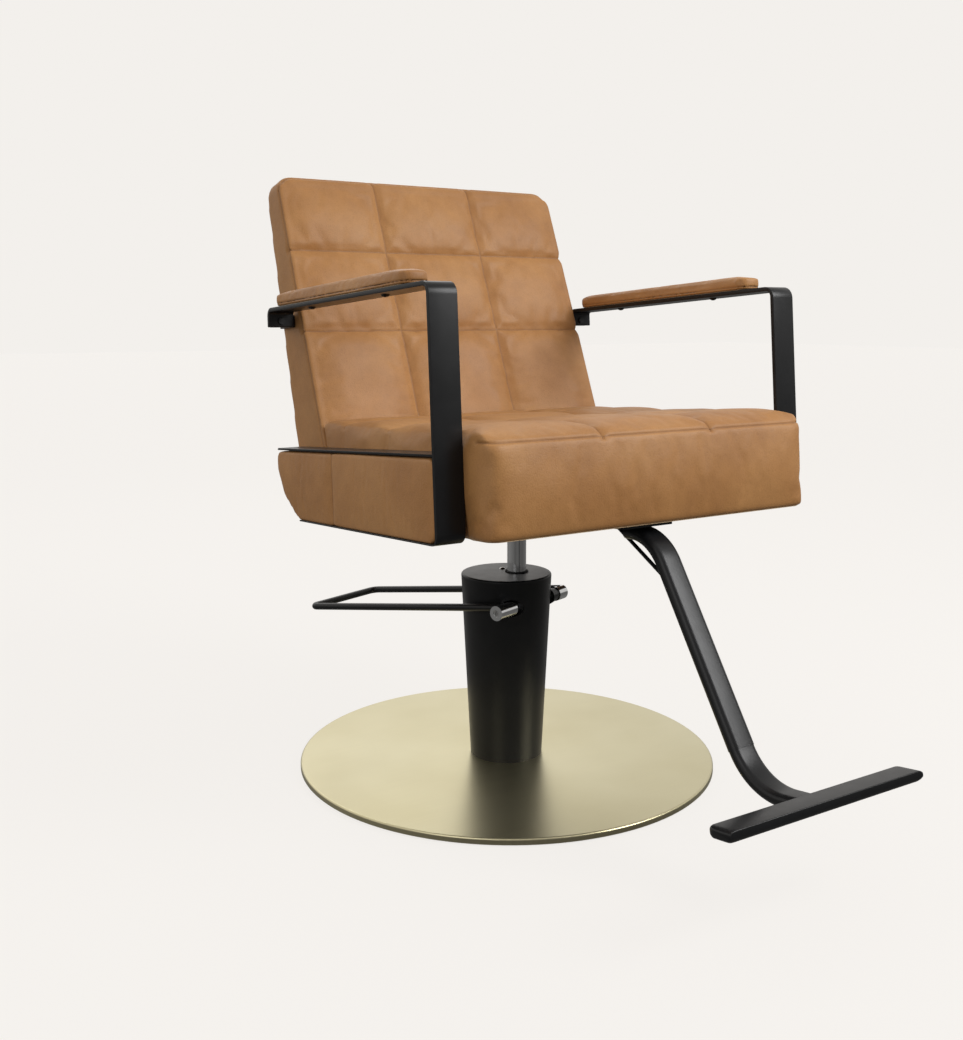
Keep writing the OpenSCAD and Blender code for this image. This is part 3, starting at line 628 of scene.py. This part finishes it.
def footrest_tube(material):
    start, straight_end, _ = footrest_places()
    path = [(start.x + 0.008, start.y, 0)]
    for i in range(BEND_STEPS + 1):
        a = BEND_ANGLE * i / BEND_STEPS
        r = math.radians(a)
        path.append((start.x - BEND_R * math.sin(r), start.y + BEND_R * (math.cos(r) - 1), a))
    path.append((straight_end.x, straight_end.y, BEND_ANGLE))
    piece = swept("footrest_pipe", oval(TUBE_W, TUBE_T), path)
    return steel(piece, SEAT, material, "footrest_tube")


def footrest_elbow(material):
    """The casting that turns the tube up to the foot bar, a hair thinner than the tube it plugs into."""
    _, straight_end, elbow_end = footrest_places()
    path = []
    for i in range(BEND_STEPS + 1):
        turn = ELBOW_ANGLE * i / BEND_STEPS
        p = on_elbow(straight_end, turn)
        path.append((p.x, p.y, BEND_ANGLE - turn))
    lap = straight_end - ahead(BEND_ANGLE) * 0.006
    end = elbow_end + ahead(BEND_ANGLE - ELBOW_ANGLE) * (BAR_REACH - 0.008)
    path.insert(0, (lap.x, lap.y, BEND_ANGLE))
    path.append((end.x, end.y, BEND_ANGLE - ELBOW_ANGLE))
    piece = swept("footrest_casting", oval(TUBE_W - ELBOW_STEP, TUBE_T - ELBOW_STEP), path)
    return steel(piece, SEAT, material, "footrest_elbow")


def round_cap(piece, low, high):
    """Rounds a cap of the foot bar towards its end."""
    bm = bmesh.new()
    bm.from_mesh(piece.data)
    middle = (low.y + high.y) / 2
    side = sum(v.co.x for v in bm.verts)
    for step in range(1, CAP_STEPS):
        out = CAP_LEN * (1 - (step / CAP_STEPS) ** 2)
        at = math.copysign(high.x - CAP_LEN + out, side)
        geom = list(bm.verts) + list(bm.edges) + list(bm.faces)
        bmesh.ops.bisect_plane(bm, geom=geom, dist=1e-6, plane_co=(at, 0, 0), plane_no=(1, 0, 0))
    for v in bm.verts:
        out = max(0.0, (abs(v.co.x) - (high.x - CAP_LEN)) / CAP_LEN)
        shrink = 1 - math.sqrt(max(0.0, 1 - out ** CAP_ROUND))
        v.co.y += (middle - v.co.y) * shrink * CAP_NARROW
        v.co.z += (high.z - v.co.z) * shrink * CAP_RISE
    bm.to_mesh(piece.data)
    bm.free()


def foot_bar(material):
    """The bar under the feet, flat on top with a crisp front ridge, its ends closed by rounded caps."""
    _, _, elbow_end = footrest_places()
    place = SEAT @ Matrix.Translation((0, elbow_end.x, elbow_end.y))
    place = place @ Matrix.Rotation(math.radians(90 + BEND_ANGLE - ELBOW_ANGLE), 4, "X")
    place = place @ Matrix.Translation((0, BAR_RISE, BAR_REACH))
    low, high = local_box("foot_bar_caps", place)
    outline = rounded([
        (low.y, low.z, 0.0066), (low.y, high.z, 0.0075), (high.y, high.z, 0.0012), (high.y, low.z, 0.0055),
    ])
    bar = slab("foot_rail", outline, low.x + CAP_LEN, high.x - CAP_LEN)
    steel(bar, place, material, "foot_bar")
    caps = slab("foot_rail_caps", outline, low.x, low.x + CAP_LEN)
    other = slab("foot_rail_cap", outline, high.x - CAP_LEN, high.x)
    for cap in (caps, other):
        round_cap(cap, low, high)
    with bpy.context.temp_override(active_object=caps, selected_editable_objects=[caps, other]):
        bpy.ops.object.join()
    return steel(caps, place, material, "foot_bar_caps")


# ---------- materials ----------

class Surface:
    """A material's node tree, with short ways to add nodes to it."""

    def __init__(self, name):
        self.material = bpy.data.materials.new(name)
        self.material.use_nodes = True
        self.tree = self.material.node_tree
        self.shader = self.tree.nodes["Principled BSDF"]
        self.place = self.add("ShaderNodeTexCoord").outputs["Object"]

    def add(self, kind, **inputs):
        node = self.tree.nodes.new(kind)
        for name, value in inputs.items():
            self.feed(node.inputs[name], value)
        return node

    def feed(self, socket, value):
        """Sets a socket to a value, or links it where the value is another node's output."""
        if isinstance(value, bpy.types.NodeSocket):
            self.tree.links.new(value, socket)
        else:
            socket.default_value = value

    def set(self, **inputs):
        for name, value in inputs.items():
            self.feed(self.shader.inputs[name.replace("_", " ")], value)

    def stretched(self, scale):
        """Object coordinates stretched by a scale along each axis, in cells a metre."""
        mapping = self.add("ShaderNodeMapping", Vector=self.place)
        mapping.inputs["Scale"].default_value = scale
        return mapping.outputs["Vector"]

    def noise(self, scale, detail=4.0, roughness=0.5, at=None):
        node = self.add("ShaderNodeTexNoise", Vector=at or self.place, Scale=scale)
        node.inputs["Detail"].default_value = detail
        node.inputs["Roughness"].default_value = roughness
        return node.outputs["Fac"]

    def pebbles(self, scale):
        node = self.add("ShaderNodeTexVoronoi", Vector=self.place, Scale=scale)
        node.feature = "SMOOTH_F1"
        node.inputs["Smoothness"].default_value = 0.6
        return node.outputs["Distance"]

    def ramp(self, factor, stops):
        node = self.add("ShaderNodeValToRGB", Fac=factor)
        elements = node.color_ramp.elements
        for _ in range(len(stops) - 2):
            elements.new(0.5)
        for element, (position, color) in zip(elements, stops):
            element.position = position
            element.color = (*color, 1)
        return node.outputs["Color"]

    def tones(self, factor, dark, light):
        """A colour that wanders between a dark and a light one with a factor."""
        return self.ramp(factor, [(0.3, dark), (0.7, light)])

    def span(self, factor, low, high):
        """A factor of 0 to 1 turned into a number between two others."""
        node = self.add("ShaderNodeMapRange", Value=factor)
        node.inputs["To Min"].default_value = low
        node.inputs["To Max"].default_value = high
        return node.outputs["Result"]

    def math(self, operation, first, second):
        node = self.add("ShaderNodeMath")
        node.operation = operation
        self.feed(node.inputs[0], first)
        self.feed(node.inputs[1], second)
        return node.outputs["Value"]

    def mix(self, factor, first, second, blend="MIX"):
        node = self.add("ShaderNodeMix")
        node.data_type = "RGBA"
        node.blend_type = blend
        self.feed(node.inputs["Factor"], factor)
        self.feed(node.inputs[6], first)
        self.feed(node.inputs[7], second)
        return node.outputs[2]

    def bump(self, height, strength, distance):
        node = self.add("ShaderNodeBump", Height=height, Strength=strength, Distance=distance)
        self.set(Normal=node.outputs["Normal"])


def leather():
    """Tan upholstery leather: cloudy colour, pebbled grain, and painted shade along the seam grooves."""
    s = Surface("tan_leather")
    clouds = s.noise(6.5, detail=5.0, roughness=0.6)
    color = s.ramp(clouds, [(0.30, LEATHER_DARK), (0.50, LEATHER), (0.72, LEATHER_LIGHT)])
    patches = s.noise(42.0, detail=6.0, roughness=0.65)
    mottle = s.ramp(patches, [(0.32, (0.80, 0.78, 0.76)), (0.68, (1.0, 1.0, 1.0))])
    color = s.mix(0.55, color, mottle, blend="MULTIPLY")
    pebble = s.pebbles(560.0)
    pores = s.ramp(pebble, [(0.45, (1.0, 1.0, 1.0)), (0.9, (0.72, 0.66, 0.62))])
    color = s.mix(0.35, color, pores, blend="MULTIPLY")
    # Painted shade: the base colour is mixed up to halfway towards dark brown along the seam grooves.
    seam = s.add("ShaderNodeAttribute")
    seam.attribute_name = "seam"
    painted_seam_shade = s.math("POWER", seam.outputs["Fac"], 1.6)
    color = s.mix(s.math("MULTIPLY", painted_seam_shade, 0.5), color, (0.14, 0.062, 0.026, 1))
    s.set(Base_Color=color)
    s.set(Roughness=s.span(s.noise(30.0, detail=3.0), 0.46, 0.60))
    s.set(Specular_IOR_Level=0.42, Sheen_Weight=0.03, Sheen_Roughness=0.5)
    creases = s.noise(95.0, detail=3.0, roughness=0.55)
    height = s.math("ADD", s.math("MULTIPLY", pebble, -0.55), s.math("MULTIPLY", creases, 0.9))
    s.bump(height, 0.32, 0.0009)
    return s.material


def black_steel():
    """Satin black powder coat: very fine orange peel, a little rubbed."""
    s = Surface("black_powder_coat")
    wear = s.noise(18.0, detail=6.0, roughness=0.7)
    s.set(Base_Color=s.ramp(wear, [(0.3, (0.0070, 0.0073, 0.0080)), (0.75, (0.0115, 0.0120, 0.0130))]))
    s.set(Roughness=s.span(s.noise(60.0, detail=4.0), 0.28, 0.37))
    s.set(Specular_IOR_Level=0.28)
    s.bump(s.noise(1700.0, detail=2.0), 0.10, 0.0002)
    return s.material


def base_brass():
    """Champagne coloured, brushed along one direction and lacquered."""
    s = Surface("champagne_brass")
    strokes = s.noise(1.0, detail=4.0, roughness=0.6, at=s.stretched((7.0, 620.0, 7.0)))
    clouds = s.noise(5.0, detail=3.0)
    color = s.tones(clouds, (0.590, 0.535, 0.335), (0.660, 0.610, 0.410))
    fine = s.ramp(strokes, [(0.25, (0.86, 0.86, 0.86)), (0.75, (1.0, 1.0, 1.0))])
    s.set(Base_Color=s.mix(0.5, color, fine, blend="MULTIPLY"))
    s.set(Metallic=1.0, Roughness=s.span(strokes, 0.26, 0.40))
    s.bump(strokes, 0.06, 0.0002)
    return s.material


def chrome():
    s = Surface("bright_chrome")
    s.set(Base_Color=s.tones(s.noise(14.0), (0.70, 0.71, 0.72), (0.80, 0.81, 0.82)))
    s.set(Metallic=1.0, Roughness=s.span(s.noise(90.0, detail=5.0), 0.07, 0.16))
    s.bump(s.noise(700.0), 0.02, 0.0001)
    return s.material


def bare_steel():
    """Zinc plated fixings: grey with a faint yellow cast in places."""
    s = Surface("zinc_steel")
    s.set(Base_Color=s.tones(s.noise(120.0, detail=5.0), (0.40, 0.40, 0.39), (0.58, 0.58, 0.58)))
    s.set(Metallic=1.0, Roughness=s.span(s.noise(300.0), 0.26, 0.42))
    s.bump(s.noise(1500.0), 0.05, 0.0001)
    return s.material


def cast_iron():
    s = Surface("oiled_iron")
    s.set(Base_Color=s.tones(s.noise(70.0, detail=6.0), (0.045, 0.045, 0.047), (0.095, 0.095, 0.10)))
    s.set(Metallic=0.8, Roughness=s.span(s.noise(160.0), 0.38, 0.58))
    s.bump(s.noise(420.0, detail=5.0), 0.25, 0.0004)
    return s.material


def bronze():
    s = Surface("bearing_bronze")
    s.set(Base_Color=s.tones(s.noise(200.0, detail=5.0), (0.36, 0.22, 0.09), (0.52, 0.34, 0.15)))
    s.set(Metallic=1.0, Roughness=s.span(s.noise(420.0), 0.32, 0.5))
    return s.material


def rubber():
    s = Surface("matt_rubber")
    s.set(Base_Color=s.tones(s.noise(60.0, detail=5.0), (0.012, 0.012, 0.012), (0.024, 0.024, 0.024)))
    s.set(Roughness=s.span(s.noise(250.0), 0.66, 0.85))
    s.bump(s.noise(900.0), 0.15, 0.0002)
    return s.material


def plywood():
    """Thin veneers, each darker or lighter than the next, with grain along them."""
    s = Surface("plywood_layers")
    grain = s.noise(1.0, detail=6.0, roughness=0.7, at=s.stretched((6.0, 90.0, 700.0)))
    s.set(Base_Color=s.tones(grain, (0.36, 0.23, 0.115), (0.58, 0.42, 0.245)))
    s.set(Roughness=s.span(grain, 0.55, 0.75))
    s.bump(grain, 0.2, 0.0004)
    return s.material


def dust_cloth():
    """Black non-woven lining cloth: crossed fibres pressed flat."""
    s = Surface("lining_cloth")
    warp = s.noise(1.0, detail=3.0, at=s.stretched((1400.0, 160.0, 160.0)))
    weft = s.noise(1.0, detail=3.0, at=s.stretched((160.0, 1400.0, 160.0)))
    fibres = s.math("MULTIPLY", warp, weft)
    s.set(Base_Color=s.ramp(fibres, [(0.15, (0.010, 0.010, 0.011)), (0.40, (0.030, 0.030, 0.032))]))
    s.set(Roughness=s.span(fibres, 0.9, 0.75))
    s.bump(fibres, 0.4, 0.0003)
    return s.material


def studio_floor():
    """A pale matt floor that glows a little, so that it stays even in tone."""
    s = Surface("pale_floor")
    s.set(Base_Color=(*FLOOR_DIFFUSE, 1), Roughness=0.9, Specular_IOR_Level=0.1)
    s.set(Emission_Color=(*FLOOR_GLOW, 1), Emission_Strength=1.0)
    return s.material


MATERIALS = {
    "leather": leather, "black_steel": black_steel, "base_brass": base_brass, "chrome": chrome,
    "bare_steel": bare_steel, "cast_iron": cast_iron, "bronze": bronze, "rubber": rubber,
    "plywood": plywood, "dust_cloth": dust_cloth,
}


# ---------- camera, floor and lights ----------

def camera():
    """The photo's view: from the sitter's right front, a little below the arms."""
    data = bpy.data.cameras.new("camera")
    eye = bpy.data.objects.new("camera", data)
    bpy.context.collection.objects.link(eye)
    eye.location = (-CAMERA_AWAY * math.sin(CAMERA_ROUND), -CAMERA_AWAY * math.cos(CAMERA_ROUND), CAMERA_UP)
    eye.rotation_euler = (math.pi / 2 - CAMERA_PITCH, 0, -(CAMERA_ROUND + CAMERA_YAW))
    data.sensor_fit = "VERTICAL"
    data.sensor_height = 36
    data.lens = CAMERA_LENS
    data.shift_y = CAMERA_SHIFT
    data.clip_end = 100
    bpy.context.scene.camera = eye


def floor():
    bm = bmesh.new()
    bmesh.ops.create_grid(bm, x_segments=8, y_segments=8, size=FLOOR_HALF)
    mesh = bpy.data.meshes.new("floor")
    bm.to_mesh(mesh)
    bm.free()
    ground = bpy.data.objects.new("floor", mesh)
    ground.location.z = -0.0005
    bpy.context.collection.objects.link(ground)
    mesh.materials.append(studio_floor())
    ground.visible_diffuse = False
    ground.visible_glossy = False


def softbox(name, place, aim, size, power):
    data = bpy.data.lights.new(name, "AREA")
    data.shape = "RECTANGLE"
    data.size, data.size_y = size
    data.energy = power
    lamp = bpy.data.objects.new(name, data)
    bpy.context.collection.objects.link(lamp)
    lamp.location = place
    lamp.rotation_euler = (Vector(aim) - Vector(place)).to_track_quat("-Z", "Y").to_euler()
    lamp.visible_camera = False


def ranged(tree, value, source, target):
    """A number in one range turned into one in another, and kept inside it."""
    node = tree.nodes.new("ShaderNodeMapRange")
    node.inputs["From Min"].default_value, node.inputs["From Max"].default_value = source
    node.inputs["To Min"].default_value, node.inputs["To Max"].default_value = target
    tree.links.new(value, node.inputs["Value"])
    return node.outputs["Result"]


def surroundings():
    """An even pale backdrop for the eye, and a studio that is brighter overhead for everything else."""
    world = bpy.data.worlds.new("studio")
    bpy.context.scene.world = world
    world.use_nodes = True
    tree = world.node_tree
    tree.nodes.clear()
    output = tree.nodes.new("ShaderNodeOutputWorld")
    either = tree.nodes.new("ShaderNodeMixShader")
    rays = tree.nodes.new("ShaderNodeLightPath")
    room = tree.nodes.new("ShaderNodeBackground")
    backdrop = tree.nodes.new("ShaderNodeBackground")
    backdrop.inputs["Color"].default_value = (*BACKDROP, 1)
    coord = tree.nodes.new("ShaderNodeTexCoord")
    split = tree.nodes.new("ShaderNodeSeparateXYZ")
    ramp = tree.nodes.new("ShaderNodeValToRGB")
    stops = ramp.color_ramp.elements
    stops.new(0.5)
    for stop, (position, level) in zip(stops, ROOM_LEVELS):
        stop.position = position
        stop.color = (*[c * level for c in BACKDROP], 1)
    tree.links.new(coord.outputs["Generated"], split.inputs[0])
    tree.links.new(split.outputs["Z"], ramp.inputs["Fac"])
    patches = tree.nodes.new("ShaderNodeTexNoise")
    patches.inputs["Scale"].default_value = PANEL_SCALE
    patches.inputs["Detail"].default_value = 1.0
    tree.links.new(coord.outputs["Generated"], patches.inputs["Vector"])
    panels = ranged(tree, patches.outputs["Fac"], PANEL_NOISE, PANEL_LEVEL)
    depth = ranged(tree, split.outputs["Y"], ROOM_DEPTH, (ROOM_FRONT, 1.0))
    level = tree.nodes.new("ShaderNodeMath")
    level.operation = "MULTIPLY"
    tree.links.new(panels, level.inputs[0])
    tree.links.new(depth, level.inputs[1])
    tree.links.new(level.outputs[0], room.inputs["Strength"])
    tree.links.new(ramp.outputs["Color"], room.inputs["Color"])
    tree.links.new(rays.outputs["Is Camera Ray"], either.inputs["Fac"])
    tree.links.new(room.outputs[0], either.inputs[1])
    tree.links.new(backdrop.outputs[0], either.inputs[2])
    tree.links.new(either.outputs[0], output.inputs["Surface"])
    softbox("key", (1.4, -2.0, 2.1), (0, 0, 0.5), (1.3, 1.3), KEY_POWER)
    softbox("fill", (-2.2, -1.3, 1.6), (0, 0, 0.45), (1.4, 1.8), FILL_POWER)
    softbox("rim", (0.6, 2.3, 2.1), (0, 0, 0.5), (2.0, 1.2), RIM_POWER)
    bpy.context.scene.view_settings.view_transform = "Standard"


# ---------- the chair ----------

camera()
floor()
surroundings()

finishes = {slot: make() for slot, make in MATERIALS.items()}
for part in frame["record"]["subparts"]:
    for slot in nodes[part["node"]].material_slots:
        slot.material = finishes[part["material_slot"]]

seat_cushion(finishes["leather"])
back_cushion(finishes["leather"])
back_panel(finishes["leather"])
for side in ("left", "right"):
    side_panel(side, finishes["leather"])
    arm_pad(side, finishes["leather"])
    side_frame(side, finishes["black_steel"])
    side_strip(side, finishes["black_steel"])
footrest_tube(finishes["black_steel"])
footrest_elbow(finishes["black_steel"])
foot_bar(finishes["black_steel"])
